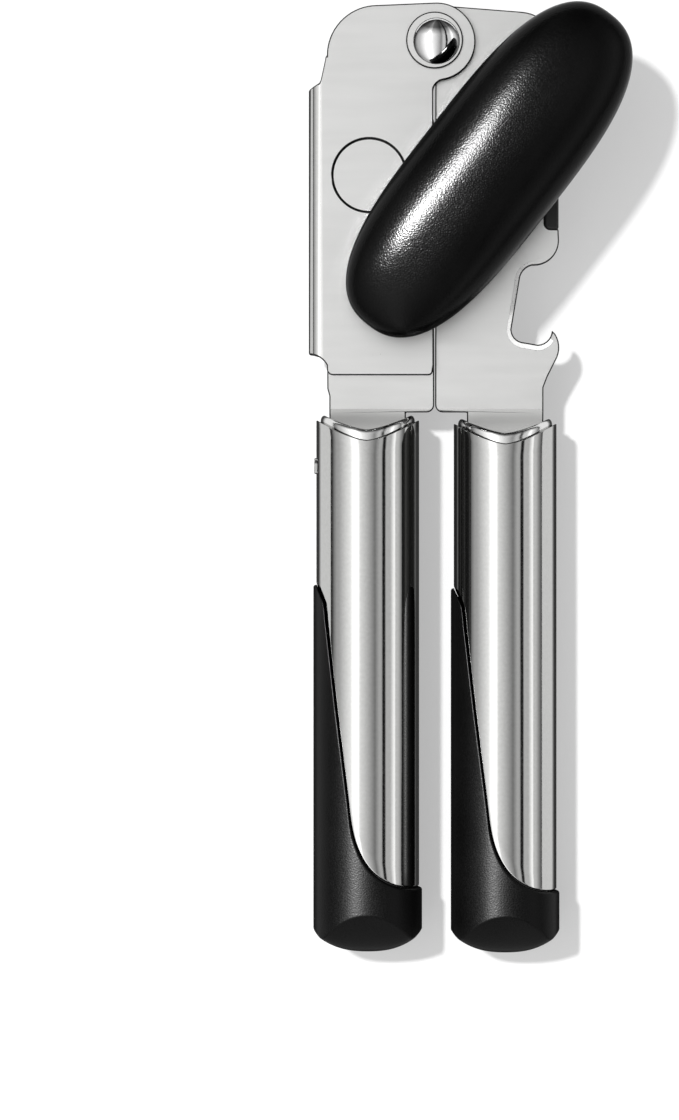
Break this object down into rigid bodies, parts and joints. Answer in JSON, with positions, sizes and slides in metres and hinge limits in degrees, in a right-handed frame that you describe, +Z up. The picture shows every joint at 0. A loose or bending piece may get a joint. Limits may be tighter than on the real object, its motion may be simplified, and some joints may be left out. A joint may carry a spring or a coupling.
{
  "type": "manual can opener",
  "caption": "Hand-held can opener with two riveted steel jaws, a turning knob that drives a toothed feed wheel, a cutting disc, a bottle-opener hook and steel handles with rubber grips.",
  "frame": {"origin": "centre of the bounding box in plan, on the plane that the opener rests on when it lies knob up", "axes": "+Y from the grips towards the hinge, +Z up through the knob, +X towards the bottle-opener side"},
  "size_m": [0.0645, 0.1908, 0.0345],
  "materials": {
    "plate_steel": "satin tumbled stainless",
    "shell_steel": "polished along the handle",
    "collar_steel": "bright rolled lip",
    "rivet_chrome": "polished",
    "wheel_steel": "hardened and ground",
    "bush_bronze": "machined",
    "black_nylon": "moulded",
    "black_rubber": "soft touch"
  },
  "bodies": {
    "drive_jaw": {"drive_plate": "plate_steel", "axle_bushing": "bush_bronze", "rim_guide": "black_nylon", "pivot_rivet": "rivet_chrome", "pivot_washer": "plate_steel", "pivot_back_washer": "plate_steel", "drive_handle_shell": "shell_steel", "drive_handle_collar": "collar_steel", "drive_handle_core": "black_nylon", "drive_handle_grip": "black_rubber"},
    "cutter_jaw": {"cutter_plate": "plate_steel", "cutter_tang": "plate_steel", "cutter_stud": "rivet_chrome", "cutter_spacer": "plate_steel", "cutter_washer": "plate_steel", "cutter_handle_shell": "shell_steel", "cutter_handle_collar": "collar_steel", "cutter_handle_core": "black_nylon", "cutter_handle_grip": "black_rubber", "cutter_handle_peg": "shell_steel"},
    "cutting_disc": {"cutter_wheel": "wheel_steel"},
    "drive": {"drive_axle": "wheel_steel", "feed_wheel": "wheel_steel", "axle_nut": "wheel_steel", "knob_hub": "black_nylon", "knob_key": "wheel_steel", "knob_core": "black_nylon", "knob_grip": "black_rubber"}
  },
  "joints": [
    {"name": "jaw_hinge", "type": "hinge", "parent": "drive_jaw", "child": "cutter_jaw", "pos_m": [-0.0063, 0.08765, 0.0128], "axis": [0, 0, -1], "range_deg": [0, 50]},
    {"name": "knob_turn", "type": "hinge", "parent": "drive_jaw", "child": "drive", "pos_m": [0.00415, 0.06115, 0.0127], "axis": [0, 0, 1], "continuous": true},
    {"name": "disc_spin", "type": "hinge", "parent": "cutter_jaw", "child": "cutting_disc", "pos_m": [-0.0198, 0.06085, 0.0045], "axis": [0, 0, 1], "continuous": true}
  ]
}
